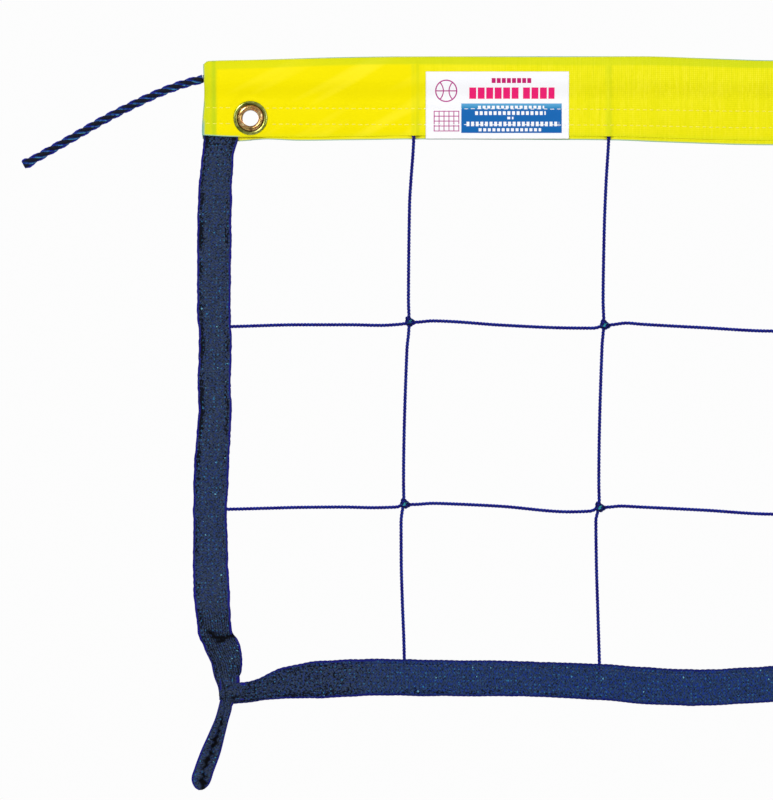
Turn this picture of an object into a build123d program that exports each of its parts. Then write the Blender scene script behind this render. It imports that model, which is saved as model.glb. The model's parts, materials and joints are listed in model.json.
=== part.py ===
from build123d import *
import math
import os

# Volleyball net, a sample length three squares high, hanging from its top rope.
# Origin: on the top rope's axis, at the middle of the net.
# +X along the headband, +Y away from the front, +Z up.
# All sizes in millimetres.

# ---------------------------------------------------------------- driving dimensions
mesh_pitch = 127.0  # side of a net square, 5 inches
end_column = 134.5  # headband end to the first upright twine
full_columns = 3  # full squares between the outermost upright twines
half_length = end_column + full_columns * mesh_pitch / 2

rope_radius = 2.6
twine_radius = 0.975

headband_top = 13.5  # top fold above the rope's axis
seam_heights = {"upper_seam": -19.5, "lower_seam": -30.0}
front_edge = -37.5  # lower edge of the front flap
back_edge = -40.0  # lower edge of the back flap, where the net folds
vinyl = 0.6  # thickness of the coated fabric
flap_gap = 1.1  # half the space between the flaps below the sleeve
sleeve_foot = -14.0  # where the sleeve closes to that space
sleeve_gap = 3.1  # half the space inside the sleeve at the rope

row_heights = [-160.0, -279.0]
knot_height = 4.2  # a knot's point above its crossing
knot_foot = 2.94  # a knot's foot below its crossing
knot_half_width = 3.7
knot_half_depth = 2.0
knot_rounding = 0.7

tape_width = 21.0
tape_outer_x = half_length + 3.0
tape_inner_x = tape_outer_x - tape_width
tape_ply = 0.9
tape_half = flap_gap + tape_ply  # half the thickness of a folded tape
tape_wall = 1.6  # cloth left round the hollow of a folded tape
gather_top = -360.0  # where a side tape starts to be drawn in to its corner
line_inset = 2.8  # an edge line's axis to the outside of its tape's fold
seam_inset = 3.0  # a tape's seam to its open edge
head_top = -27.0  # upper end of a side tape, between the headband's flaps
head_width = 18.0
fold_clearance = 3.6  # lower edge of the headband to the first cloth that swings
above_fold = 0.3  # the net's fold to the cloth and twine held between the flaps
stub_top = -5.0  # upper ends of the upright twines, below the rope

bottom_top = -379.5
bottom_edge = -402.5
widen_x = 262.0  # half the length of the bottom tape that has its full width

corner_x = 308.7
corner_z = -398.0
corner_size = (14.0, 6.4, 12.0)
corner_rounding = 2.4
neck_inset = 5.5  # a corner knot's middle to the bottom tape's end
neck_half = 3.5  # half the width of the bottom tape's end
loop_half = 2.0  # half the thickness of a tie loop

grommet_x = half_length - 30.5
grommet_z = -25.4
grommet_bore = 5.15
grommet_flange = 11.0
grommet_wall = 0.5
flange_thickness = 0.7
washer_thickness = 0.6
washer_step = 0.3
lip_height = 0.8
grommet_gap = 0.3  # a grommet's flange to the nearest stitch

label_width = 93.0
label_left = -180.6
label_top = 4.7
label_bottom = front_edge
label_thickness = 0.25
thread = 0.25  # how far a stitch stands out of the cloth
thread_width = 0.5

loop_gap = 4.0  # a corner knot to the cloth of the tie loop that swings
hinge_gap = 0.5  # rope tail to the headband's end face
touching = 0.05  # least space between a twine and the line that it ends on

os.makedirs("parts", exist_ok=True)


# ---------------------------------------------------------------- helpers
def write(name, solids):
    """One STEP file per node, holding its solids side by side."""
    shape = solids[0] if len(solids) == 1 else Compound(solids)
    export_step(shape, f"parts/{name}.step")


def solids_of(shape):
    """The separate solids of a shape."""
    return list(shape.solids())


def block(x, y, z):
    """A box from its low and high limits along each axis."""
    centre = [(low + high) / 2 for low, high in (x, y, z)]
    return Pos(*centre) * Box(x[1] - x[0], y[1] - y[0], z[1] - z[0])


def rod(start, end, radius):
    """A round bar between two points."""
    line = Line(start, end)
    return sweep(Plane(origin=start, z_dir=line % 0) * Circle(radius), path=line)


def plate(outline, y):
    """A front-view outline given as (x, z) points, made solid between two y limits."""
    face = make_face(Polyline([(px, y[0], pz) for px, pz in outline], close=True))
    return extrude(face, amount=y[1] - y[0], dir=(0, 1, 0))


def along_x(section, x):
    """A cross-section of edges in the plane x = 0, made solid between two x limits."""
    return Pos(x[0], 0, 0) * extrude(make_face(section), amount=x[1] - x[0], dir=(1, 0, 0))


def mirrored(outline):
    """The same outline at the other end of the net."""
    return [(-px, pz) for px, pz in outline]


def both_ends(name, left):
    """Writes a piece of the left end and its mirror image at the right end."""
    write(f"{name}_left", left)
    write(f"{name}_right", [solid.mirror(Plane.YZ) for solid in left])


# ---------------------------------------------------------------- top rope
# The hidden run is straight and ends just outside the sleeve, where each free tail takes over.
core_end = half_length + hinge_gap
write("top_rope", [rod((-core_end, 0, 0), (core_end, 0, 0), rope_radius)])

# Route of a tail from the sleeve's mouth, as distances outwards and heights.
left_route = [(0, 0), (8, -1.6), (26, -7.8), (46, -17)]
left_route += [(66, -27.2), (84, -37.8), (100, -46.8), (116.5, -56)]
right_route = [(0, 0), (8, -1.4), (25, -6.8), (45, -15)]
right_route += [(66, -25.6), (84, -36.8), (99, -47.6), (114, -57.4)]
arc_share = 0.45  # of the shorter of two straight runs, taken by the arc that joins them


def tail(route, side):
    """A free rope tail: straight runs joined by long arcs, cut square where it leaves the hidden run."""
    points = [Vector(side * (core_end + out), 0, height) for out, height in route]
    runs = [b - a for a, b in zip(points, points[1:])]
    radii = []
    for before, after in zip(runs, runs[1:]):
        half_turn = math.radians(before.get_angle(after)) / 2
        radii.append(arc_share * min(before.length, after.length) / math.tan(half_turn))
    start = points[0] - runs[0].normalized() * rope_radius
    path = FilletPolyline(start, *points[1:], radius=radii)
    tube = sweep(Plane(origin=start, z_dir=runs[0]) * Circle(rope_radius), path=path)
    inside = sorted([side * core_end, side * (core_end - 3 * rope_radius)])
    return tube - block(inside, (-2 * rope_radius, 2 * rope_radius), (-2 * rope_radius, 2 * rope_radius))


write("rope_tail_left", [tail(left_route, -1)])
write("rope_tail_right", [tail(right_route, 1)])


# ---------------------------------------------------------------- headband
def band_side(sign, half_gap, half_sleeve, top, foot):
    """One side of a sleeve section: straight up from foot, then an arc to the top fold."""
    corner = (0, sign * half_gap, sleeve_foot)
    return [
        Line((0, sign * half_gap, foot), corner),
        ThreePointArc(corner, (0, sign * half_sleeve, 0), (0, 0, top)),
    ]


def band_section(half_gap, half_sleeve, top, front_foot, back_foot):
    """The outline of a folded strip, or of the space in it."""
    edges = band_side(-1, half_gap, half_sleeve, top, front_foot)
    edges += band_side(1, half_gap, half_sleeve, top, back_foot)
    edges.append(Line((0, -half_gap, front_foot), (0, half_gap, back_foot)))
    return edges


face_y = flap_gap + vinyl
beyond = 1.0  # how far a cutting shape reaches past what it cuts
outer_face = band_section(face_y, sleeve_gap + vinyl, headband_top, back_edge, back_edge)
inner_top = headband_top - 1.2 * vinyl
inner_space = band_section(flap_gap, sleeve_gap, inner_top, back_edge - beyond, back_edge - beyond)
band_span = (-half_length, half_length)
headband = along_x(outer_face, band_span) - along_x(inner_space, band_span)
headband -= block(band_span, (-face_y - beyond, 0), (back_edge - beyond, front_edge))
barrel_radius = grommet_bore + grommet_wall
for side in (-1, 1):
    punch = Rot(90, 0, 0) * Cylinder(barrel_radius, 2 * (face_y + beyond))
    headband -= Pos(side * grommet_x, 0, grommet_z) * punch
write("headband", solids_of(headband))

# Label, sewn on the front and following the sleeve's curve.
label_depth = sleeve_gap + vinyl + label_thickness
label_face = band_section(face_y + label_thickness, label_depth, headband_top + beyond, back_edge, back_edge)
label_span = (label_left, label_left + label_width)
label = along_x(label_face, label_span) - along_x(outer_face, label_span)
label &= block(label_span, (-sleeve_gap - beyond, 0), (label_bottom, label_top))
write("label", solids_of(label))

# Stitching, one row above and one below the grommet's middle, front and back, over the label.
clear = grommet_x - grommet_flange - grommet_gap
seam_end = (grommet_x + grommet_flange + grommet_gap, half_length - beyond)
seam_start = (-seam_end[1], -seam_end[0])
label_skin = face_y + label_thickness
for name, height in seam_heights.items():
    z_limits = (height - thread_width / 2, height + thread_width / 2)
    front_spans = [seam_start, (-clear, label_span[0]), (label_span[1], clear), seam_end]
    rows = [block(span, (-face_y - thread, -face_y), z_limits) for span in front_spans]
    rows.append(block(label_span, (-label_skin - thread, -label_skin), z_limits))
    spans = (seam_start, (-clear, clear), seam_end)
    rows += [block(span, (face_y, face_y + thread), z_limits) for span in spans]
    write(name, rows)

# ---------------------------------------------------------------- grommets
# Section in (radius, depth): a flange pressed from sheet, a rolled lip and a barrel
# that is set over the washer.
front_face = -face_y - flange_thickness
back_face = face_y + washer_thickness
set_radius = grommet_bore + 1.6


def ring(points, mid_points):
    """A turned ring about the grommet's axis: straight edges, or arcs where a middle point is given."""
    edges = []
    for index, start in enumerate(points):
        end = points[(index + 1) % len(points)]
        middle = mid_points.get(index)
        ends = [(radius, depth, 0) for radius, depth in (start, end)]
        if middle:
            edges.append(ThreePointArc(ends[0], (middle[0], middle[1], 0), ends[1]))
        else:
            edges.append(Line(*ends))
    return revolve(make_face(edges), axis=Axis.Y)


lip_top = front_face - lip_height
roll = (grommet_bore + 1.1, lip_top)
grommet = ring(
    [
        (grommet_bore, front_face),
        (grommet_bore + 2.2, front_face),
        (grommet_flange - 0.35, front_face),
        (grommet_flange, -face_y - washer_step),
        (grommet_flange, -face_y),
        (barrel_radius, -face_y),
        (barrel_radius, back_face),
        (set_radius, back_face),
        (grommet_bore, back_face),
    ],
    {0: roll, 2: (grommet_flange - 0.1, front_face + 0.12), 7: (grommet_bore + 0.8, back_face + 0.6)},
)
washer = ring(
    [
        (barrel_radius, face_y),
        (grommet_flange - 0.6, face_y),
        (grommet_flange - 0.6, face_y + washer_step),
        (grommet_flange - 1.0, back_face),
        (barrel_radius, back_face),
    ],
    {},
)
place = Pos(-grommet_x, 0, grommet_z)
both_ends("grommet", [place * grommet])
both_ends("washer", [place * washer])

# ---------------------------------------------------------------- net squares
swing_top = back_edge - fold_clearance
columns = [mesh_pitch * (index - full_columns / 2) for index in range(full_columns + 1)]

# Upper ends of the upright twines, between the flaps and below the rope.
stubs = [rod((x, 0, back_edge + above_fold), (x, 0, stub_top), twine_radius) for x in columns]
write("twine_ends", stubs)

# Knots: a rounded triangular lump, point up, at every crossing.
def knot(x, z):
    """The lump of a knot round a crossing."""
    foot = z - knot_foot
    outline = [(x, z + knot_height), (x + knot_half_width, foot), (x - knot_half_width, foot)]
    lump = plate(outline, (-knot_half_depth, knot_half_depth))
    return fillet(lump.edges(), radius=knot_rounding)


knots = [[knot(x, z) for x in columns] for z in row_heights]
for number, row in enumerate(knots, start=1):
    write(f"knots_row_{number}", row)
all_knots = [lump for row in knots for lump in row]

bottom_line_z = bottom_edge + line_inset
side_line_x = tape_outer_x - line_inset


def without_knots(bar):
    """A twine's lengths between its knots."""
    for lump in all_knots:
        bar -= lump
    return solids_of(bar)


foot_of_twine = bottom_line_z + twine_radius + touching
for number, x in enumerate(columns, start=1):
    upright = rod((x, 0, foot_of_twine), (x, 0, swing_top), twine_radius)
    write(f"upright_twine_{number}", without_knots(upright))

end_of_twine = side_line_x - twine_radius - touching
for number, z in enumerate(row_heights, start=1):
    bar = rod((-end_of_twine, 0, z), (end_of_twine, 0, z), twine_radius)
    write(f"cross_twine_{number}", without_knots(bar))

# ---------------------------------------------------------------- corner knots
corner = Pos(-corner_x, 0, corner_z) * fillet(Box(*corner_size).edges(), radius=corner_rounding)
both_ends("corner_knot", [corner])

# ---------------------------------------------------------------- side tapes
# Folded tape: outline from the front, hollow from its inner edge to the fold, drawn in to the corner knot.
side_outline = [
    (-tape_outer_x, swing_top),
    (-tape_outer_x, gather_top),
    (-tape_outer_x + 7, -380.0),
    (-corner_x - 5.5, corner_z + 4),
    (-corner_x + 5.0, corner_z + 4),
    (-corner_x + 7.0, -386.0),
    (-corner_x + 9.0, -376.0),
    (-corner_x + 8.0, -367.0),
    (-tape_inner_x, gather_top),
    (-tape_inner_x, swing_top),
]
side_space = block((-tape_outer_x + tape_wall, 0), (-flap_gap, flap_gap), (gather_top + 3, 0))
side_tape = plate(side_outline, (-tape_half, tape_half)) - side_space - corner
both_ends("side_tape", solids_of(side_tape))

side_line = rod((-side_line_x, 0, gather_top + 4), (-side_line_x, 0, swing_top), twine_radius)
both_ends("side_line", [side_line])

seam_x = -tape_inner_x - seam_inset
seam_x_limits = (seam_x - thread_width / 2, seam_x + thread_width / 2)
seam_z_limits = (gather_top + 2, swing_top - 2)
side_seam = [
    block(seam_x_limits, (-tape_half - thread, -tape_half), seam_z_limits),
    block(seam_x_limits, (tape_half, tape_half + thread), seam_z_limits),
]
both_ends("side_seam", side_seam)

# The tape's upper end, pressed flat between the headband's flaps.
head_half = flap_gap - 2 * touching
head_span = (hinge_gap - half_length, hinge_gap - half_length + head_width)
tape_head = block(head_span, (-head_half, head_half), (back_edge + above_fold, head_top))
both_ends("tape_head", [tape_head])

# ---------------------------------------------------------------- bottom tape
neck_x = corner_x - neck_inset
left_half = [
    (-widen_x, bottom_top),
    (-widen_x - 22, bottom_top - 6.5),
    (-neck_x + 7, -391.5),
    (-neck_x, corner_z + neck_half),
    (-neck_x, corner_z - neck_half),
    (-widen_x, bottom_edge),
]
bottom_outline = left_half + mirrored(left_half)[::-1]
bottom_space = block((-widen_x, widen_x), (-flap_gap, flap_gap), (bottom_edge + tape_wall, 0))
bottom_tape = plate(bottom_outline, (-tape_half, tape_half)) - bottom_space
bottom_tape = bottom_tape - corner - corner.mirror(Plane.YZ)
write("bottom_tape", solids_of(bottom_tape))

line_end = widen_x - 0.5
write("bottom_line", [rod((-line_end, 0, bottom_line_z), (line_end, 0, bottom_line_z), twine_radius)])

bottom_seam_z = bottom_top - seam_inset
seam_z_limits = (bottom_seam_z - thread_width / 2, bottom_seam_z + thread_width / 2)
bottom_seam = [
    block((-widen_x, widen_x), (-tape_half - thread, -tape_half), seam_z_limits),
    block((-widen_x, widen_x), (tape_half, tape_half + thread), seam_z_limits),
]
write("bottom_seam", bottom_seam)

# ---------------------------------------------------------------- tie loops
# A length of the same tape, doubled into a narrow loop whose two legs lie side by side.
loop_top = corner_z - corner_size[2] / 2 - loop_gap
outside = [(-314.5, loop_top), (-316.0, -413.0), (-322.6, -428.0), (-327.0, -439.0), (-331.0, -449.0)]
tip = [(-332.3, -455.5), (-330.5, -460.0), (-327.1, -462.0), (-323.0, -460.0), (-320.0, -455.0)]
inside = [(-314.2, -439.0), (-311.2, -426.0), (-310.5, -420.0), (-307.0, -412.0), (-306.5, loop_top)]
slit = [(-315.6, -426.5), (-322.8, -448.0), (-321.8, -448.3), (-314.6, -427.0)]
loop = plate(outside + tip + inside, (-loop_half, loop_half))
loop -= plate(slit, (-loop_half - beyond, loop_half + beyond))
both_ends("tie_loop", solids_of(loop))
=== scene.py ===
import json
import math

import bpy
import numpy as np
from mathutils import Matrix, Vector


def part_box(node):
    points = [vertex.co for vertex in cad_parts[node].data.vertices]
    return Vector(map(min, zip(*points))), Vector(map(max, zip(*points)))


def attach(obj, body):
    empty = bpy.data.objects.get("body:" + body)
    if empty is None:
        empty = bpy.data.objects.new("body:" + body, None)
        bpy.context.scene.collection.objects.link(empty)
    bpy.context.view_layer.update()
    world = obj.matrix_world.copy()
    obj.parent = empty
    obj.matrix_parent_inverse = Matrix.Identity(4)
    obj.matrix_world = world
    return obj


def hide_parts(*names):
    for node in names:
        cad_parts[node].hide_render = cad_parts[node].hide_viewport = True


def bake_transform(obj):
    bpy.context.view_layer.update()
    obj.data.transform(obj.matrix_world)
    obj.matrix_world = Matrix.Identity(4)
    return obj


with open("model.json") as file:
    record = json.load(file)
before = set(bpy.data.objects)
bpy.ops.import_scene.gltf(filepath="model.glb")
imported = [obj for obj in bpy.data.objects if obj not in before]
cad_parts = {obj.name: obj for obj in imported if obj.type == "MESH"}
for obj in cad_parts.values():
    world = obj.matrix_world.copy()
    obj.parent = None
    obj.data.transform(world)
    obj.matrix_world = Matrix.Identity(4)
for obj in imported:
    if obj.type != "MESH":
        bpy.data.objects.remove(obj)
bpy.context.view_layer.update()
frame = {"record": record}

# A short volleyball net hanging from its top rope. Everything is in metres in the CAD frame:
# origin on the rope's axis at the middle of the net, +X along the headband, +Y away from the front, +Z up.
MM = 0.001
SIDES = (("left", -1), ("right", 1))


# ---------------- places read from the frame
def limits(node, axis):
    """Lowest and highest place of a CAD node along an axis."""
    low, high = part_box(node)
    return low[axis], high[axis]


def middle_of(node, axis):
    """Middle of a CAD node along an axis."""
    return sum(limits(node, axis)) / 2


def radius_of(node, axis):
    """Half a CAD node's size along an axis."""
    low, high = limits(node, axis)
    return (high - low) / 2


BAND_LEFT, BAND_RIGHT = limits("headband", 0)
LABEL_LEFT, LABEL_RIGHT = limits("label", 0)
LABEL_LOW, LABEL_TOP = limits("label", 2)
ROPE_RADIUS = radius_of("top_rope", 2)
TWINE_RADIUS = radius_of("bottom_line", 2)
GROMMET_RADIUS = radius_of("grommet_left", 0)
GROMMETS = {word: [middle_of(f"grommet_{word}", axis) for axis in (0, 2)] for word in ("left", "right")}
JOINT_Z = {joint["name"]: joint["pos_m"][2] for joint in frame["record"]["behaviour"]["joints"]}


# ---------------- camera
CAMERA_DISTANCE = 3.2
VIEW_WIDTH = 502.45 * MM
VIEW_LEFT = BAND_LEFT - 132.3 * MM
VIEW_MIDDLE = -208.6 * MM
camera_data = bpy.data.cameras.new("camera")
camera_data.sensor_fit = "HORIZONTAL"
camera_data.lens = camera_data.sensor_width * CAMERA_DISTANCE / VIEW_WIDTH
camera = bpy.data.objects.new("camera", camera_data)
camera.location = (VIEW_LEFT + VIEW_WIDTH / 2, -CAMERA_DISTANCE, VIEW_MIDDLE)
camera.rotation_euler = (math.pi / 2, 0, 0)
bpy.context.collection.objects.link(camera)
bpy.context.scene.camera = camera


# ---------------- curves and meshes
def through(points, unit=MM):
    """A smooth function through given (place, value) points that never swings past them."""
    xs, ys = (np.array(column, float) * unit for column in zip(*points))
    rates = np.diff(ys) / np.diff(xs)
    product = rates[:-1] * rates[1:]
    middle = np.where(product > 0, 2 * product / np.where(product > 0, rates[:-1] + rates[1:], 1), 0)
    slopes = np.concatenate([[rates[0]], middle, [rates[-1]]])

    def value(x):
        x = np.clip(np.asarray(x, float), xs[0], xs[-1])
        index = np.clip(np.searchsorted(xs, x) - 1, 0, len(xs) - 2)
        step = xs[index + 1] - xs[index]
        t = (x - xs[index]) / step
        start = (2 * t**3 - 3 * t**2 + 1) * ys[index] + (t**3 - 2 * t**2 + t) * step * slopes[index]
        end = (3 * t**2 - 2 * t**3) * ys[index + 1] + (t**3 - t**2) * step * slopes[index + 1]
        return start + end

    return value


def ease(low, high, x):
    """0 below low, 1 above high, smooth between."""
    t = np.clip((np.asarray(x, float) - low) / (high - low), 0, 1)
    return t * t * (3 - 2 * t)


def bump(x, centre, width):
    """A smooth bump of height 1."""
    return np.exp(-(((np.asarray(x, float) - centre) / width) ** 2))


def power(x, exponent):
    """A power that keeps the sign."""
    return np.sign(x) * np.abs(x) ** exponent


def wander(size, step, seed):
    """A column of smooth random values between about -1 and 1 that change over step places."""
    rng = np.random.default_rng(seed)
    knots = rng.uniform(-1, 1, int(size / step) + 4)
    places = np.arange(size) / step
    index = places.astype(int)
    t = ease(0, 1, places - index)
    return (knots[index] * (1 - t) + knots[index + 1] * t)[:, None]


def circle(count):
    """Angles evenly round a circle."""
    return np.linspace(0, 2 * math.pi, count, endpoint=False)


def unit_rows(vectors):
    """Each row made one long."""
    return vectors / np.maximum(np.linalg.norm(vectors, axis=-1, keepdims=True), 1e-12)


def run_lengths(points):
    """How far along a line of points each of them is."""
    return np.append(0, np.cumsum(np.linalg.norm(np.diff(points, axis=0), axis=1)))


def evenly(points, spacing):
    """Points a fixed distance apart along a line of points."""
    points = np.asarray(points, float)
    places = run_lengths(points)
    targets = np.linspace(0, places[-1], max(int(round(places[-1] / spacing)) + 1, 4))
    return np.stack([np.interp(targets, places, column) for column in points.T], -1)


def smooth_line(points, spacing):
    """A smooth line through given points, as points a fixed distance apart."""
    points = np.asarray(points, float)
    places = run_lengths(points)
    fine = np.linspace(0, places[-1], max(int(places[-1] / spacing) * 3, 12))
    line = [through(zip(places, column), unit=1.0)(fine) for column in points.T]
    return evenly(np.stack(line, -1), spacing)


def add_mesh(name, points, faces, values):
    """A smooth-shaded mesh object. values: numbers a vertex, of which u and v become its UV map."""
    mesh = bpy.data.meshes.new(name)
    mesh.from_pydata(points.tolist(), [], faces)
    mesh.polygons.foreach_set("use_smooth", [True] * len(mesh.polygons))
    if "u" in values:
        corners = np.empty(len(mesh.loops), np.int32)
        mesh.loops.foreach_get("vertex_index", corners)
        uv = np.stack([values.pop("u"), values.pop("v")], -1).astype(np.float32)
        mesh.uv_layers.new(name="UVMap").data.foreach_set("uv", uv[corners].ravel())
    for key, numbers in values.items():
        attribute = mesh.attributes.new(key, "FLOAT", "POINT")
        attribute.data.foreach_set("value", numbers.astype(np.float32))
    mesh.validate()
    obj = bpy.data.objects.new(name, mesh)
    bpy.context.collection.objects.link(obj)
    return obj


def grid_faces(rows, columns, first=0, wrap=False, flip=False):
    """Quads of a grid of points, closed round its columns if wrap."""
    r = np.arange(rows - 1)[:, None] * columns + first
    c = np.arange(columns if wrap else columns - 1)[None, :]
    after = (c + 1) % columns
    faces = np.stack([r + c, r + after, r + columns + after, r + columns + c], -1).reshape(-1, 4)
    return faces[:, ::-1] if flip else faces


def thick_sheet(name, grid, thickness, values, holes=False):
    """A closed sheet of cloth: a grid of points as its middle, given a thickness, less any holes."""
    rows, columns = grid.shape[:2]
    count = rows * columns
    normals = unit_rows(np.cross(np.gradient(grid, axis=1), np.gradient(grid, axis=0)))
    half = np.broadcast_to(thickness / 2, (rows, columns))[..., None]
    points = np.concatenate([(grid + normals * half).reshape(-1, 3), (grid - normals * half).reshape(-1, 3)])
    kept = ~np.broadcast_to(holes, (rows - 1, columns - 1))
    front = grid_faces(rows, columns)[kept.ravel()]
    faces = [front, front[:, ::-1] + count]

    def wall(starts, ends):
        """Quads through the thickness, along an edge of the sheet."""
        faces.append(np.stack([ends, starts, starts + count, ends + count], -1))

    index = np.arange(count).reshape(rows, columns)
    solid = np.pad(kept, 1, constant_values=True)
    for low, high, start, end in (
        (solid[:-1, 1:-1], solid[1:, 1:-1], index[:, :-1], index[:, 1:]),
        (solid[1:-1, 1:], solid[1:-1, :-1], index[:-1], index[1:]),
    ):
        for left, right, a, b in ((low, high, start, end), (high, low, end, start)):
            rim = left & ~right
            wall(a[rim], b[rim])
    for edge in (index[0, ::-1], index[:, 0], index[-1, :], index[::-1, -1]):
        wall(edge[:-1], edge[1:])
    values = {key: np.broadcast_to(numbers, index.shape).ravel() for key, numbers in values.items()}
    doubled = {key: np.tile(numbers, 2) for key, numbers in values.items()}
    return add_mesh(name, points, np.concatenate(faces).tolist(), doubled)


def closed_bar(rings, middle, flip=False, **values):
    """A bar of rings of points round a middle line, closed by a fan at each end: points, faces and values."""
    rows, sides = rings.shape[:2]
    tip = rows * sides
    last = tip - sides
    faces = grid_faces(rows, sides, wrap=True, flip=flip).tolist()
    for side in range(sides):
        after = (side + 1) % sides
        for fan in ([after, side, tip], [last + side, last + after, tip + 1]):
            faces.append(fan[::-1] if flip else fan)
    points = np.concatenate([rings.reshape(-1, 3), [middle[0], middle[-1]]])
    values = {key: np.broadcast_to(numbers, (rows, sides)) for key, numbers in values.items()}
    return points, faces, {key: np.append(numbers, [0, 0]) for key, numbers in values.items()}


def join_parts(parts):
    """One set of points, faces and values from several."""
    faces = []
    total = 0
    for points, part_faces, values in parts:
        faces += [[index + total for index in face] for face in part_faces]
        total += len(points)
    values = {key: np.concatenate([part[2][key] for part in parts]) for key in parts[0][2]}
    return np.concatenate([part[0] for part in parts]), faces, values


def frames(path):
    """Directions, normals and side vectors along a path, turning as little as they can."""
    directions = unit_rows(np.gradient(path, axis=0))
    normal = np.array([0.0, 0.0, 1.0])
    if abs(directions[0] @ normal) > 0.9:
        normal = np.array([0.0, -1.0, 0.0])
    normals = []
    for direction in directions:
        normal = unit_rows(normal - direction * (normal @ direction))
        normals.append(normal)
    return directions, np.array(normals), np.cross(directions, normals)


STRANDS = 3
# Shares of the cord's radius: how thick a strand is, how far out it lies, and how deep its yarns rib it.
STRAND_RADIUS = 0.565
STRAND_PLACE = 0.55
YARN_DEPTH = 0.07


def laid_strands(path, radius, pitch, sides, yarns, swell=1.0):
    """Three strands laid round a path, each a bar ribbed by its yarns that turns once in a pitch.

    Gives points, faces and two numbers a vertex: painted glints by the valleys, and painted sheen on the
    strands' flanks.
    """
    directions, normals, binormals = frames(path)
    upward = unit_rows(np.cross(directions, [[0.0, 1.0, 0.0]]))
    turn = np.arange(len(path))[:, None] * np.linalg.norm(path[1] - path[0]) * 2 * math.pi / pitch
    around = circle(sides)
    from_front = np.degrees(np.angle(np.exp(1j * around)))
    # Painted sheen down each strand's flanks, and painted glints on the yarns beside the valleys.
    valley = ease(80, 104, np.abs(from_front))
    light = bump(from_front, 94, 11) + 0.5 * bump(from_front, -98, 8)
    swell = np.broadcast_to(swell, len(path))[:, None]
    ribs = YARN_DEPTH * np.cos(yarns * (around - 0.4 * turn)) if yarns else 0
    thickness = radius * STRAND_RADIUS * (1 + ribs) * swell
    parts = []
    for strand in range(STRANDS):
        angle = turn + strand * 2 * math.pi / STRANDS
        outward = np.cos(angle) * normals + np.sin(angle) * binormals
        sideways = np.cos(angle) * binormals - np.sin(angle) * normals
        middle = path + outward * radius * STRAND_PLACE * swell
        ring = np.cos(around)[:, None] * outward[:, None] + np.sin(around)[:, None] * sideways[:, None]
        rings = middle[:, None] + ring * thickness[..., None]
        # Painted sheen also along the cord's top and bottom.
        height = np.abs(np.sum((rings - path[:, None]) * upward[:, None], axis=-1)) / (radius * swell)
        flank = np.maximum(valley, ease(0.66, 0.96, height))
        parts.append(closed_bar(rings, middle, flip=True, light=light, flank=flank))
    return join_parts(parts)


# ---------------- node maths
class Field:
    """A node's output, for which node maths is written as it is for numbers."""

    def __init__(self, nodes, socket):
        self.nodes = nodes
        self.socket = socket

    def __add__(self, other):
        return self.nodes.math("ADD", self, other)

    def __sub__(self, other):
        return self.nodes.math("SUBTRACT", self, other)

    def __mul__(self, other):
        return self.nodes.math("MULTIPLY", self, other)

    def __gt__(self, other):
        return self.nodes.math("GREATER_THAN", self, other)

    def __lt__(self, other):
        return self.nodes.math("LESS_THAN", self, other)

    def at_least(self, other):
        """The greater of the two."""
        return self.nodes.math("MAXIMUM", self, other)

    def between(self, low, high):
        """1 between two values."""
        return (self > low) * (self < high)

    def wave(self, period):
        """A sine wave."""
        return self.nodes.math("SINE", self * (2 * math.pi / period))

    def climb(self, low, high, start=0.0, end=1.0):
        """From start to end as the field goes from low to high."""
        return self.nodes.ramp(self, [(low, (start,) * 3), (high, (end,) * 3)])


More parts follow.
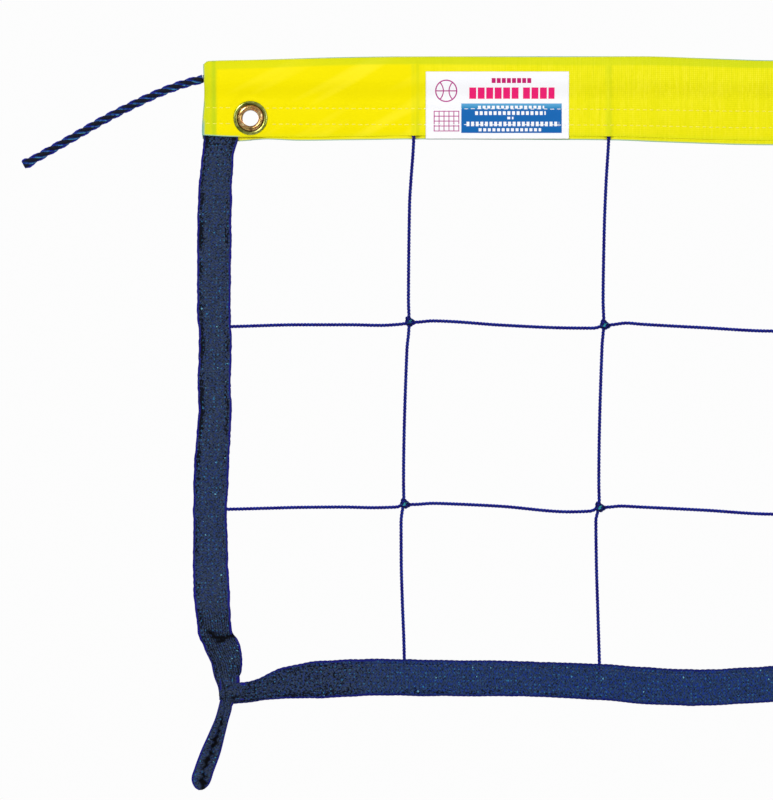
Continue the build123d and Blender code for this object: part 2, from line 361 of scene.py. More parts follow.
class Nodes:
    """Short calls for building the node tree of a material or a world."""

    def __init__(self, owner, shader, **inputs):
        owner.use_nodes = True
        self.owner = owner
        self.tree = owner.node_tree
        self.shader = self.tree.nodes[shader]
        self.surface(**inputs)

    def surface(self, **inputs):
        """Sets the shader's own inputs."""
        self.set(self.shader, inputs)

    def set(self, node, inputs):
        """Sets inputs, by number or by name with underscores for spaces, from a value or a field."""
        for key, value in inputs.items():
            socket = node.inputs[key.replace("_", " ") if isinstance(key, str) else key]
            if isinstance(value, Field):
                self.tree.links.new(value.socket, socket)
            elif socket.type == "RGBA":
                socket.default_value = (*value, 1.0)
            else:
                socket.default_value = value

    def add(self, kind, inputs, output=0, **settings):
        """One output of a new node, as a field."""
        node = self.tree.nodes.new("ShaderNode" + kind)
        for key, value in settings.items():
            setattr(node, key, value)
        self.set(node, inputs)
        return Field(self, node.outputs[output])

    def other(self, field, output):
        """Another output of a field's node."""
        return Field(self, field.socket.node.outputs[output])

    def math(self, operation, *values, clamp=False):
        """A step of node maths."""
        return self.add("Math", dict(enumerate(values)), operation=operation, use_clamp=clamp)

    def value(self, name):
        """One of the mesh's named numbers."""
        return self.add("Attribute", {}, "Fac", attribute_name=name)

    def split(self, vector):
        """The three parts of a vector."""
        x = self.add("SeparateXYZ", {0: vector})
        return x, self.other(x, 1), self.other(x, 2)

    def uv(self):
        """The cloth's own coordinates, in millimetres along and across."""
        return self.split(self.add("UVMap", {}, uv_map="UVMap"))[:2]

    def place(self):
        """The object's own coordinates, in metres."""
        return self.add("TexCoord", {}, "Object")

    def noise(self, vector, scale=1.0, detail=3.0, roughness=0.55):
        """Smooth noise between 0 and 1."""
        inputs = {"Vector": vector, "Scale": scale, "Detail": detail, "Roughness": roughness}
        return self.add("TexNoise", inputs)

    def vector(self, x, y, z=0.0):
        """A vector from its parts."""
        return self.add("CombineXYZ", {0: x, 1: y, 2: z})

    def ramp(self, factor, stops):
        """Colours between the stops, given as (place, colour)."""
        colours = self.add("ValToRGB", {0: factor})
        elements = colours.socket.node.color_ramp.elements
        while len(elements) < len(stops):
            elements.new(0.5)
        for element, (place, colour) in zip(elements, stops):
            element.position = place
            element.color = (*colour, 1.0)
        return colours

    def mix(self, factor, a, b):
        """Colour a, or colour b where factor is 1."""
        mixed = self.add("Mix", {0: factor}, 2, data_type="RGBA")
        self.set(mixed.socket.node, {6: a, 7: b})
        return mixed

    def relief(self, height, distance, strength):
        """Bump from a height, with the height's size in metres."""
        self.surface(Normal=self.add("Bump", {"Height": height, "Distance": distance, "Strength": strength}))


def new_material(name, **inputs):
    """The nodes of a new material."""
    return Nodes(bpy.data.materials.new(name), "Principled BSDF", **inputs)


# ---------------- materials
def vinyl_material():
    """Coated yellow cloth: woven scrim under the coating, greener where hem or twine lies behind, with
    painted shade along the top fold and painted sheen in soft diagonal streaks.
    """
    nodes = new_material("vinyl", Specular_IOR_Level=0.03)
    u, v = nodes.uv()
    show = nodes.value("scrim")
    streak = nodes.noise(nodes.vector(u * 0.55, v * 0.02), detail=2.0)
    broken = nodes.noise(nodes.vector(u * 0.8, v * 0.16), detail=2.0)
    weave = u.wave(1.3) * 0.5 + v.wave(1.3) * 0.42 + (streak - 0.5) * 2.7 + (broken - 0.5) * 2.2
    woven = weave * show
    tone = woven * 0.16 + 0.5
    yellows = [(0.2, (0.72, 0.68, 0.004)), (0.5, (0.86, 0.735, 0.0)), (0.8, (0.93, 0.80, 0.006))]
    dulled = [(0.2, (0.62, 0.65, 0.008)), (0.5, (0.78, 0.745, 0.004)), (0.8, (0.90, 0.83, 0.05))]
    # Painted sheen: lighter yellow in soft diagonal streaks across the headband.
    painted_sheen = nodes.noise(nodes.vector((u - v * 1.75) * 0.036, v * 0.016, 3.0), detail=1.0)
    colour = nodes.mix(painted_sheen.climb(0.52, 0.68, end=0.8), nodes.ramp(tone, yellows), (0.93, 0.80, 0.02))
    colour = nodes.mix(show * 0.9, colour, nodes.ramp(tone, dulled))
    cloud = nodes.noise(nodes.vector(u * 0.05, v * 0.11))
    # Greener where hem and twine lie behind and near the flaps' lower edges, with painted shade along the top
    # fold.
    colour = nodes.mix(nodes.value("backing_and_shade") * (cloud * 0.5 + 0.75), colour, (0.47, 0.60, 0.012))
    colour = nodes.mix(nodes.value("cut"), colour, (0.14, 0.40, 0.44))
    scuff = nodes.noise(nodes.place(), 160.0, 5.0, 0.7)
    colour = nodes.mix((scuff > 0.7) * 0.08, colour, (0.6, 0.6, 0.05))
    nodes.surface(Base_Color=colour, Roughness=scuff * 0.3 + 0.32)
    nodes.relief(woven * 0.4 + scuff * 0.5, 0.00012, 0.5)
    return nodes.owner


def tape_material():
    """Dark woven binding: twill and broken floats, black wear, blue selvedges, painted glints and painted
    shade in its creases.
    """
    nodes = new_material("tape", Sheen_Weight=0.1, Sheen_Roughness=0.35, Sheen_Tint=(0.08, 0.05, 1.0))
    nodes.surface(Specular_IOR_Level=0.08)
    u, v = nodes.uv()
    blued = nodes.value("blued")

    def spread(scale_u, scale_v, detail=2.0, shift=0.0):
        """Noise with its own scale each way, read somewhere else for each shift."""
        return nodes.noise(nodes.vector(u * scale_u + shift, v * scale_v), 1.0, detail, 0.6)

    broad = spread(0.12, 0.2)
    way = nodes.math("PINGPONG", broad * 6.0 + v, 6.0)
    bent = way + u + (spread(0.4, 0.4) - 0.5) * 3.0
    twill = bent.wave(2.1) * spread(0.2, 0.25, shift=9.0).climb(0.40, 0.58, start=0.25)
    floats = u.wave(1.6) * v.wave(2.6).at_least(-0.4)
    weave = u.wave(0.62) * v.wave(0.7)
    fine = spread(0.95, 0.7, 3.0)
    tone = twill * 0.08 + floats * 0.06 + weave * 0.05 + (fine - 0.5) * 0.8 + (broad - 0.5) * 0.22 + 0.5
    rib = v.wave(1.5).at_least(0.0) * nodes.value("ribbed")
    tone = nodes.math("SUBTRACT", tone, rib * 0.20, clamp=True)
    stops = [(0.24, (0.001, 0.002, 0.004)), (0.38, (0.012, 0.018, 0.031)), (0.52, (0.028, 0.041, 0.072))]
    colour = nodes.ramp(tone, stops + [(0.76, (0.048, 0.075, 0.130))])
    blue = spread(0.8, 0.5, shift=20.0).climb(0.50, 0.58) * (blued * 0.15 + 0.5)
    colour = nodes.mix(blue * (tone > 0.40), colour, (0.009, 0.030, 0.19))
    cast = nodes.mix(blued, (1.0, 1.0, 1.0), (0.66, 0.95, 1.34))
    colour = nodes.add("VectorMath", {0: colour, 1: cast}, operation="MULTIPLY")
    wear = nodes.value("worn") * 0.19 + spread(0.55, 0.75, 3.0, shift=50.0)
    colour = nodes.mix(wear.climb(0.60, 0.66, end=0.92), colour, (0.002, 0.002, 0.003))
    # Painted glints on the crowns of the weave, broken up by noise.
    crown_glints = u.wave(3.1).at_least(0.0) * v.wave(2.4).at_least(0.0) > 0.35
    crown_glints = crown_glints * spread(0.16, 0.3, shift=33.0).climb(0.49, 0.58, end=0.8)
    crown_glints = crown_glints * spread(0.5, 0.7, shift=71.0).climb(0.40, 0.52, start=0.1)
    colour = nodes.mix(crown_glints, colour, (0.03, 0.14, 0.28))
    # Painted glints scattered over the cloth.
    cell = nodes.vector(u * 0.34, v * 0.27)
    away = nodes.add("TexVoronoi", {"Vector": cell, "Scale": 1.0}, "Distance", feature="F1")
    chance, size, hue = nodes.split(nodes.other(away, "Color"))
    lit = (away < size * 0.12 + 0.07) * (chance > 0.74)
    glint = nodes.mix(hue, (0.02, 0.17, 0.34), (0.17, 0.44, 0.54))
    colour = nodes.mix(lit * 0.8, colour, glint)
    selvedge = nodes.mix(blued, (0.010, 0.007, 0.20), (0.006, 0.010, 0.12))
    colour = nodes.mix(nodes.value("edge"), colour, selvedge)
    # Painted shade: near-black in creases, pleat hollows, tucks and rib grooves.
    colour = nodes.mix(nodes.value("crease"), colour, (0.001, 0.001, 0.002))
    nodes.surface(Base_Color=colour, Roughness=fine * 0.2 + 0.75)
    nodes.relief(tone, 0.0009, 0.5)
    return nodes.owner


def cord_material(name, dark, middle, flank, light, fleck):
    """Laid cord: dark fibres, with painted blue sheen down the flanks of each strand and broken painted
    glints on some yarns.
    """
    nodes = new_material(name, Sheen_Weight=0.6, Sheen_Roughness=0.28, Sheen_Tint=(0.03, 0.02, 1.0))
    nodes.surface(Specular_IOR_Level=0.1)
    place = nodes.place()
    fibre = nodes.noise(place, 2600.0, 3.0, 0.7)
    # Painted blue sheen on the flanks, then broken painted glints.
    colour = nodes.mix(nodes.value("flank"), nodes.ramp(fibre, [(0.3, dark), (0.62, middle)]), flank)
    shine = nodes.value("light") * nodes.noise(place, fleck, 2.0).climb(0.40, 0.56, start=0.1)
    nodes.surface(Base_Color=nodes.mix(shine, colour, light), Roughness=fibre * 0.35 + 0.4)
    nodes.relief(fibre, 0.00015, 0.5)
    return nodes.owner


def brass_material():
    """Worn brass: olive tarnish on the rim, and coppery tarnish round the bead with painted reflections in
    it: dark arcs and bright places.
    """
    nodes = new_material("brass", Metallic=1.0)
    place = nodes.place()
    patch = nodes.noise(place, 210.0, 3.0, 0.6)
    # Coppery tarnish round the bead, with painted reflections: dark arcs and bright places.
    tarnish_and_reflections = [(0.34, (0.20, 0.10, 0.035)), (0.46, (0.62, 0.42, 0.14)), (0.55, (0.42, 0.16, 0.06))]
    tarnish_and_reflections += [(0.68, (0.85, 0.68, 0.34))]
    olive = [(0.36, (0.14, 0.18, 0.03)), (0.5, (0.34, 0.38, 0.08)), (0.66, (0.52, 0.54, 0.20))]
    colour = nodes.mix(nodes.value("rim"), nodes.ramp(patch, tarnish_and_reflections), nodes.ramp(patch, olive))
    colour = nodes.mix(nodes.value("groove"), colour, (0.05, 0.02, 0.008))
    scratch = nodes.noise(place, 1800.0, 4.0, 0.7)
    nodes.surface(Base_Color=colour, Roughness=scratch * 0.3 + 0.1)
    nodes.relief(scratch, 0.00002, 0.5)
    return nodes.owner


def thread_material(name, dark, light):
    """Sewing thread with a fine twist, paler where it is clean."""
    nodes = new_material(name, Roughness=0.6, Sheen_Weight=0.2)
    fibre = nodes.noise(nodes.place(), 3200.0)
    colour = nodes.ramp(fibre, [(0.35, dark), (0.65, light)])
    nodes.surface(Base_Color=nodes.mix(nodes.value("clean"), colour, (0.90, 0.90, 0.92)))
    nodes.relief(fibre, 0.00008, 0.5)
    return nodes.owner


# The label's print, in millimetres: a blue panel, and rows of blocks as left, right, low, high.
BLUE_PANEL = (23.1, 88.4, 3.7, 22.9)
WORDS_ON_BLUE = [(34.0, 77.0, 19.6, 21.4), (32.1, 78.0, 15.4, 17.8), (53.0, 57.0, 12.6, 14.2)]
WORDS_ON_BLUE += [(26.5, 86.7, 8.1, 11.0), (34.4, 75.0, 4.8, 6.8)]
TITLE = [(28.3, 60.4, 25.9, 33.2), (63.2, 83.7, 25.9, 33.2)]
HEADING = (42.8, 68.8, 36.0, 39.2)
NET_STRIP = (5.2, 21.8, 4.7, 18.1)
NET_STRIP_MESH = 3.2
NET_STRIP_LINE = 0.56
BALL_PLACE = (13.3, 31.0)
BALL_RADIUS = 7.2
BALL_LINE = 0.8


def label_material():
    """White coated label: a plain ball over a strip of net, and rows of blocks for words; no lettering."""
    nodes = new_material("label", Specular_IOR_Level=0.15)
    u, v = nodes.uv()

    def panel(left, right, low, high):
        return u.between(left, right) * v.between(low, high)

    def distance(across, up):
        return nodes.math("SQRT", across * across + up * up)

    cloth = nodes.noise(nodes.vector(u * 1.6, v * 1.6))
    white = nodes.ramp(cloth, [(0.3, (0.84, 0.85, 0.87)), (0.6, (0.90, 0.90, 0.92))])
    # The blue panel is lighter towards its top: a painted highlight.
    blues_with_painted_highlight = [(0.74, (0.003, 0.118, 0.40)), (0.80, (0.03, 0.24, 0.50)), (0.90, (0.10, 0.36, 0.62))]
    colour = nodes.mix(panel(*BLUE_PANEL), white, nodes.ramp(v * 0.04, blues_with_painted_highlight))
    words = [(box, 1.9, 1.1, white) for box in WORDS_ON_BLUE]
    words += [(box, 4.5, 1.0, (0.78, 0.010, 0.15)) for box in TITLE]
    words += [(HEADING, 2.6, 0.7, (0.50, 0.01, 0.14))]
    for box, block, gap, tint in words:
        beat = nodes.math("MODULO", u - box[0], block + gap)
        colour = nodes.mix(panel(*box) * (beat < block), colour, tint)
    # The ball: a ring, a level line and two bowed ones.
    across, up = u - BALL_PLACE[0], v - BALL_PLACE[1]
    radius = distance(across, up)
    inside = radius < BALL_RADIUS
    lines = radius.between(BALL_RADIUS - BALL_LINE, BALL_RADIUS).at_least(up.between(-0.35, 0.35) * inside)
    for side in (-1, 1):
        lines = lines.at_least(distance(across + side * 9.5, up).between(7.3, 8.0) * inside)
    # The strip of net under it.
    upright = nodes.math("PINGPONG", u - 5.5, NET_STRIP_MESH / 2) < NET_STRIP_LINE / 2
    level = nodes.math("PINGPONG", v - 5.0, NET_STRIP_MESH / 2) < NET_STRIP_LINE / 2
    net = upright.at_least(level) * panel(*NET_STRIP)
    nodes.surface(Base_Color=nodes.mix(lines.at_least(net), colour, (0.42, 0.012, 0.22)))
    nodes.surface(Roughness=cloth * 0.3 + 0.25)
    nodes.relief(cloth, 0.00008, 0.4)
    return nodes.owner


# Dark fibre, middle fibre, painted sheen on a strand's flank, painted glint on a yarn, and how finely that
# glint is broken up.
CORD_LOOKS = {
    "rope": ((0.001, 0.001, 0.002), (0.005, 0.007, 0.02), (0.010, 0.010, 0.31), (0.08, 0.36, 0.48), 420.0),
    "twine": ((0.001, 0.001, 0.014), (0.006, 0.004, 0.12), (0.015, 0.010, 0.42), (0.014, 0.06, 0.42), 150.0),
    "knot": ((0.001, 0.001, 0.004), (0.003, 0.005, 0.03), (0.010, 0.010, 0.32), (0.03, 0.27, 0.33), 500.0),
}
VINYL = vinyl_material()
TAPE = tape_material()
ROPE, TWINE, KNOT = [cord_material(name, *look) for name, look in CORD_LOOKS.items()]
BRASS = brass_material()
PALE_THREAD = thread_material("pale_thread", (0.87, 0.77, 0.01), (0.93, 0.84, 0.07))
DARK_THREAD = thread_material("dark_thread", (0.004, 0.006, 0.014), (0.03, 0.05, 0.12))
LABEL = label_material()


def finish_piece(obj, material, body, slot, *replaced):
    """Material, body and the CAD nodes that a piece stands for, which it hides; the finish slot is not used.
    """
    obj.data.materials.append(material)
    if body:
        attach(obj, body)
    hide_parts(*replaced)
    return obj


# ---------------- top rope and its free tails
ROPE_PITCH = 24.2 * MM
CORE_END = limits("top_rope", 0)[1]
# The route of each tail, out from the sleeve's mouth and down, as in the CAD tube.
LEFT_ROUTE = [(0, 0), (8, -1.6), (26, -7.8), (46, -17), (66, -27.2), (84, -37.8), (100, -46.8), (116.5, -56)]
RIGHT_ROUTE = [(0, 0), (8, -1.4), (25, -6.8), (45, -15), (66, -25.6), (84, -36.8), (99, -47.6), (114, -57.4)]


def spline_points(points):
    """Points read along a smooth NURBS line with these control points."""
    curve = bpy.data.curves.new("route", "CURVE")
    curve.dimensions = "3D"
    curve.resolution_u = 24
    spline = curve.splines.new("NURBS")
    spline.points.add(len(points) - 1)
    for target, point in zip(spline.points, points):
        target.co = (*point, 1.0)
    spline.order_u = 3
    spline.use_endpoint_u = True
    holder = bpy.data.objects.new("route", curve)
    mesh = bpy.data.meshes.new_from_object(holder)
    line = [tuple(vertex.co) for vertex in mesh.vertices]
    bpy.data.objects.remove(holder)
    bpy.data.curves.remove(curve)
    bpy.data.meshes.remove(mesh)
    return line


def rope_tail(name, route, side):
    """A free tail of laid rope with a cut end that has been melted into a small bead."""
    line = spline_points([(side * (CORE_END + out * MM), 0.0, height * MM) for out, height in route])
    path = evenly(line, 0.8 * MM)
    from_tip = np.arange(len(path))[::-1] * np.linalg.norm(path[1] - path[0])
    swell = 1 + 0.26 * bump(from_tip, 2.2 * MM, 3.2 * MM) - 0.22 * bump(from_tip, 0, 0.7 * MM)
    tail = add_mesh(name, *laid_strands(path, ROPE_RADIUS, ROPE_PITCH, 24, 6, swell))
    finish_piece(tail, ROPE, "rope", "rope", name)


rope_tail("rope_tail_left", LEFT_ROUTE, -1)
rope_tail("rope_tail_right", RIGHT_ROUTE, 1)
core_path = evenly([(-CORE_END, 0, 0), (CORE_END, 0, 0)], 1.6 * MM)
core = laid_strands(core_path, ROPE_RADIUS * 0.92, ROPE_PITCH, 12, 0)
finish_piece(add_mesh("top_rope", *core), ROPE, "rope", "rope", "top_rope")

# ---------------- headband
COLUMNS = [middle_of(f"upright_twine_{number}", 0) for number in range(1, 5)]
# Soft ridges over the twines that run up inside: each one's shift from its twine, and its width.
RIDGE_SHAPES = ((3.2, 3.3), (1.8, 2.4), (1.9, 2.6), (1.6, 2.9))
RIDGES = [(column + shift * MM, width * MM) for column, (shift, width) in zip(COLUMNS, RIDGE_SHAPES)]
# Edges of the headband as (place along it, height), in millimetres.
band_top = through([
    (-325, 9.2), (-322, 11.5), (-290, 12.3), (-236, 13.9), (-197, 14.4), (-41, 14.5), (0, 13.3), (45, 11.9),
    (110, 11.6), (190, 13.0), (270, 12.4), (321, 11.2), (325, 9.4),
])
band_back = through([
    (-325, -38.7), (-303, -40.4), (-284, -39.2), (-262, -40.0), (-189, -39.2), (-62, -39.8), (-28, -41.0),
    (45, -43.0), (120, -42.0), (200, -40.6), (280, -40.4), (325, -39.0),
])
band_front = through([
    (-325, -36.6), (-303, -37.6), (-262, -37.6), (-189, -36.8), (-62, -37.3), (-28, -38.2), (45, -39.8),
    (120, -39.0), (200, -37.6), (280, -37.8), (325, -36.8),
])
upper_seam = through([(-325, -18.6), (-282, -18.9), (-67, -19.7), (45, -21.0), (160, -20.2), (325, -18.8)])
lower_seam = through([(-325, -28.9), (-282, -29.3), (-67, -30.0), (45, -31.7), (160, -30.8), (325, -29.2)])
# Its left end as (height, place along it).
left_end = through([(-40, -325.4), (-34, -326.0), (-8, -324.4), (6, -325.0), (15, -325.2)])
VINYL_THICKNESS = 0.6 * MM
SLEEVE_FOOT = -14.0 * MM
FLAP_HALF = 1.4 * MM
CLOSED_HALF = 0.62 * MM
EDGE_HALF = 0.11 * MM
FRONT_SHARE = 0.4  # how much of the room for a twine the front flap gives
SLEEVE_HALF = 3.55 * MM
BAND_LENGTH = 650.0  # its cloth, in millimetres
HEM_EDGE = 9.2  # from each end, in millimetres
SEAM_PUCKER = 9.7  # one pucker along a seam, in millimetres
HOLE_RADIUS = 6.6 * MM


def band_sway(x, z):
    """How far the whole headband leans in and out, in soft diagonal folds. Calm at both ends."""
    calm = ease(0, 0.05, x - BAND_LEFT) * ease(0, 0.05, BAND_RIGHT - x)
    slant = x + 0.55 * z
    sway = 0.9 * np.sin(slant * 21.0 + 1.0) * ease(-0.0, -0.045, z)
    sway += -1.3 * bump(slant, -0.262, 0.013) + 0.9 * bump(slant, -0.232, 0.016)
    sway += 0.7 * np.sin(x * 55.0 + 2.0) * ease(-0.02, -0.043, z) + 0.25 * np.sin(x * 160.0 + z * 40)
    sway += -0.8 * bump(x - 0.5 * z, 0.09, 0.02) + 0.7 * bump(x + 0.4 * z, 0.235, 0.018)
    return sway * calm * MM * ease(0, 0.012, band_top(x) - z) * (0.45 + 0.55 * ease(-0.006, -0.02, z))


def band_depth(x, z, side):
    """Depth of the middle of a flap at a place on the headband: side -1 is the front, 1 the back."""
    top = band_top(x)
    from_left, from_right = (x - BAND_LEFT) / MM, (BAND_RIGHT - x) / MM
    rise = np.clip((z - SLEEVE_FOOT) / (top - SLEEVE_FOOT), 0, 1)
    room = ease(30, 20, from_left) + ease(30, 20, from_right)
    for place, width in RIDGES:
        room = room + (FRONT_SHARE if side < 0 else 1.0) * bump(x, place, width)
    closed = CLOSED_HALF + (EDGE_HALF - CLOSED_HALF) * ease(lower_seam(x), band_front(x) + 1.5 * MM, z)
    flap = closed + (FLAP_HALF - closed) * np.clip(room, 0, 1)
    half = flap + (SLEEVE_HALF - flap) * ease(0, 0.5, rise)
    over = np.clip((rise - 0.55) / 0.45, 0, 1)
    half = half * np.sqrt(np.maximum(1 - over**2.2, 0))
    below_top = np.clip((top - z) / (5 * MM), 0, 1)
    for place, width in RIDGES:
        half = half + 0.42 * MM * bump(x, place, width * 0.55) * below_top
    # Seams draw the flaps together, with a small pucker between stitches.
    pucker = 0.20 + 0.06 * np.sin(x / MM * 2 * math.pi / SEAM_PUCKER)
    for seam in (upper_seam, lower_seam):
        half = half - pucker * MM * bump(z, seam(x), 1.1 * MM)
    # The hem at each end is one layer thicker.
    hem = ease(HEM_EDGE, HEM_EDGE - 1, from_left) + ease(HEM_EDGE, HEM_EDGE - 1, from_right)
    half = half + 0.25 * MM * hem * below_top
    for place_x, place_z in GROMMETS.values():
        away = np.hypot(x - place_x, z - place_z)
        half = half + (CLOSED_HALF + 0.4 * MM - half) * ease(GROMMET_RADIUS + 6 * MM, GROMMET_RADIUS, away)
        half = half + 0.18 * MM * bump(away, GROMMET_RADIUS + 1.2 * MM, 1.2 * MM)
    return side * half + band_sway(x, z)


def band_surface(x, z, side):
    """A point on the headband's outer surface."""
    return np.stack([x, band_depth(x, z, side) + side * VINYL_THICKNESS / 2, z], -1)


def band_colours(grid, steps, back):
    """Numbers for the vinyl: greener where hem and twine lie behind it and near the flaps' lower edges, with
    painted shade along the top fold; scrim that shows; and cut edges.

    steps: how far up its flap each row is; back: whether a row is on the back flap.
    """
    x, z = grid[..., 0], grid[..., 2]
    from_end = np.minimum(x - BAND_LEFT, BAND_RIGHT - x) / MM
    drop = (band_top(x) - z) / MM
    hem = 0.90 * (1 - ease(8.0, 9.0, from_end))
    hem = hem * (0.55 + 0.45 * bump(from_end, 6.8, 1.6) + 0.2 * bump(from_end, 2.0, 1.2))
    # Painted shade: a darker, greener strip along the top of the headband, where it folds over.
    rope = 0.56 * (1 - ease(4.6, 6.2, drop + 0.4 * np.sin(x * 23))) * (0.85 + 0.15 * np.sin(x * 31 + 1))
    # Greener near the lower edges of both flaps.
    low = 0.25 * ease(0.93, 1.0, 1 - steps)
    ridges = 0
    for place, width in RIDGES:
        ridges = ridges + 0.32 * bump(x, place - width * 0.5, 0.9 * MM)
        ridges = ridges + 0.4 * bump(x, place + width * 0.45, 1.0 * MM) + 0.16 * bump(x, place, width * 0.7)
    ridges = ridges * (0.75 + 0.25 * np.cos(drop * 0.13))
    backing_and_shade = np.clip(np.maximum(np.maximum(hem, rope), np.maximum(ridges, low)), 0, 1)
    scrim = 0.4 * ease(-0.19, -0.07, x) * (1 - 0.35 * ease(10, 40, drop))
    scrim = scrim + 0.10 + 0.5 * ease(-0.189, -0.182, x)
    # Threads bared along the cut edges and the crest; on the front flap only in front of the side tapes.
    low_edge = ease(0.016, 0.004, steps) * np.where(back, 1.0, ease(301, 304, np.abs(x) / MM))
    crest = 0.9 * ease(0.988, 0.9965, steps) * (0.62 + 0.38 * np.sin(x * 47))
    cut = np.maximum(np.maximum(low_edge, crest), 0.8 * ease(0.5, 0.1, from_end))
    return {"backing_and_shade": backing_and_shade, "scrim": scrim, "cut": cut}


def make_headband():
    """The folded strip: from the front flap's edge, up over the rope and down to the back flap's edge."""
    share = np.linspace(0, 1, 620)
    fold = 0.9 + 0.1 * np.sin(np.linspace(0, math.pi / 2, 14))
    climb = np.append(np.linspace(0, 1, 50)[:-1] * 0.9, fold)[:, None]
    flaps = []
    for side, edge, steps in ((-1, band_front, climb), (1, band_back, climb[::-1][1:])):
        x = BAND_LEFT + share * (BAND_RIGHT - BAND_LEFT)
        z = edge(x) + (band_top(x) - edge(x)) * steps
        x = x + (left_end(z) - BAND_LEFT) * ease(0.03, 0.0, share)
        x = x - (left_end(z * 0.97) - BAND_LEFT) * ease(0.97, 1.0, share)
        lips = 0.25 * MM * ease(0.12, 0.0, steps) * np.sin(x * 90 + side)
        flaps.append(np.stack([x, band_depth(x, z, side) + side * np.abs(lips), z], -1))
    grid = np.concatenate(flaps)
    steps = np.concatenate([climb, climb[::-1][1:]])
    row = np.arange(len(grid))[:, None]
    values = band_colours(grid, steps, row > len(climb))
    values["u"] = share * BAND_LENGTH
    values["v"] = run_lengths(grid[:, len(share) // 2])[:, None] / MM
    middles = (grid[1:, 1:] + grid[:-1, :-1]) / 2
    holes = False
    for x, z in GROMMETS.values():
        holes = holes | (np.hypot(middles[..., 0] - x, middles[..., 2] - z) < HOLE_RADIUS)
    thickness = VINYL_THICKNESS * (0.2 + 0.8 * ease(0, 6, np.minimum(row, row[::-1])))
    return thick_sheet("headband", grid, thickness, values, holes)


headband = make_headband()
finish_piece(headband, VINYL, "headband", "vinyl", "headband")

# ---------------- label
LABEL_THICKNESS = 0.25 * MM
LABEL_DROP = 1.3 * MM


def make_label():
    """A thin sewn patch that follows the front of the headband, its corners lifting a little."""
    columns = np.linspace(LABEL_LEFT, LABEL_RIGHT, 150)
    x, z = np.meshgrid(columns, np.linspace(LABEL_TOP, LABEL_LOW - LABEL_DROP, 80))
    grid = band_surface(x, z, -1)
    edge = np.minimum(np.minimum(x - LABEL_LEFT, LABEL_RIGHT - x), LABEL_TOP - z) / MM
    corners = 0.12 * MM * (1 - ease(0, 2.5, edge)) * (0.5 + 0.5 * np.sin(x * 150 + z * 90))
    grid[..., 1] -= LABEL_THICKNESS * 0.6 + corners
    values = {"u": (x - LABEL_LEFT) / MM, "v": (z - LABEL_LOW + LABEL_DROP) / MM}
    return thick_sheet("label", grid, LABEL_THICKNESS * 0.8, values)


finish_piece(make_label(), LABEL, "headband", "label", "label")


# ---------------- stitching
def stitch_row(name, stitches, length, radius, material, body, slot):
    """Short rounded stitches lying on a surface, their ends dipping into it.

    stitches: (place, direction, side of the cloth, how clean it is) of each one.
    """
    rings, sides = 7, 6
    along = np.linspace(-0.5, 0.5, rings)[:, None]
    lift = radius * (0.55 - 13.6 * np.abs(along) ** 3)
    fat = radius * np.sqrt(np.clip(1.02 - (2 * along) ** 4, 0.05, 1))
    around = circle(sides)[:, None]
    points, faces = [], []
    for index, (place, direction, side, clean) in enumerate(stitches):
        outward = np.array([0.0, side, 0.0])
        across = np.cross(direction, outward)
        size = length * (1 + 0.12 * math.sin(index * 2.7))
        aside = across * radius * 0.35 * math.sin(index * 1.9)
        middle = place + direction * along * size + outward * lift + aside
        ring = np.cos(around) * across + np.sin(around) * outward
        points.append((middle[:, None] + ring * fat[..., None]).reshape(-1, 3))
        first = index * rings * sides
        last = first + (rings - 1) * sides
        faces += grid_faces(rings, sides, first, wrap=True).tolist()
        faces += [list(range(first, first + sides)), list(range(last + sides - 1, last - 1, -1))]
    cleaned = np.repeat([stitch[-1] for stitch in stitches], rings * sides)
    row = add_mesh(name, np.concatenate(points), faces, {"clean": cleaned})
    finish_piece(row, material, body, slot, name)


def headband_stitches(name, seam):
    """One row on both faces of the headband, over the label and clear of the grommets."""
    pitch, length, thread = 4.3 * MM, 3.2 * MM, 0.26 * MM
    clear = GROMMET_RADIUS + length * 0.6
    stitches = []
    for side in (-1, 1):
        for x in np.arange(BAND_LEFT + 3 * MM, BAND_RIGHT - 2 * MM, pitch):
            if any(math.hypot(x - hole_x, seam(x) - hole_z) < clear for hole_x, hole_z in GROMMETS.values()):
                continue
            both = np.array([x - pitch / 2, x + pitch / 2])
            ends = band_surface(both, seam(both), side)
            over_label = side < 0 and LABEL_LEFT < x < LABEL_RIGHT
            place = ends.mean(axis=0) - [0, LABEL_THICKNESS * over_label, 0]
            stitches.append((place, unit_rows(ends[1] - ends[0]), side, 1.0 if over_label else 0.05))
    stitch_row(name, stitches, length, thread, PALE_THREAD, "headband", "pale_thread")


headband_stitches("upper_seam", upper_seam)
headband_stitches("lower_seam", lower_seam)


# ---------------- grommets and washers
def turned(name, profile, centre_x, centre_z, groove):
    """A turned ring from (radius, depth) points in millimetres, dark at the radius of its groove."""
    sides = 96
    radius, depth = np.array(profile).T[..., None] * MM
    x = centre_x + radius * np.cos(circle(sides))
    z = centre_z + radius * np.sin(circle(sides))
    points = np.stack(np.broadcast_arrays(x, depth, z), -1).reshape(-1, 3)
    # The first ring comes again after the last, which closes the section.
    faces = grid_faces(len(profile) + 1, sides, wrap=True) % len(points)
    dark = np.repeat(bump(radius, groove * MM, 0.4 * MM), sides)
    rim = np.repeat(ease(8.6 * MM, 9.2 * MM, radius), sides)
    ring = add_mesh(name, points, faces.tolist(), {"groove": dark, "rim": rim})
    finish_piece(ring, BRASS, "headband", "brass", name)


def arc(centre, radius, low, high, count):
    """Points of an arc in the (radius, depth) plane, by angle in degrees."""
    angles = np.radians(np.linspace(low, high, count))
    return [(centre[0] + radius * math.cos(angle), centre[1] - radius * math.sin(angle)) for angle in angles]


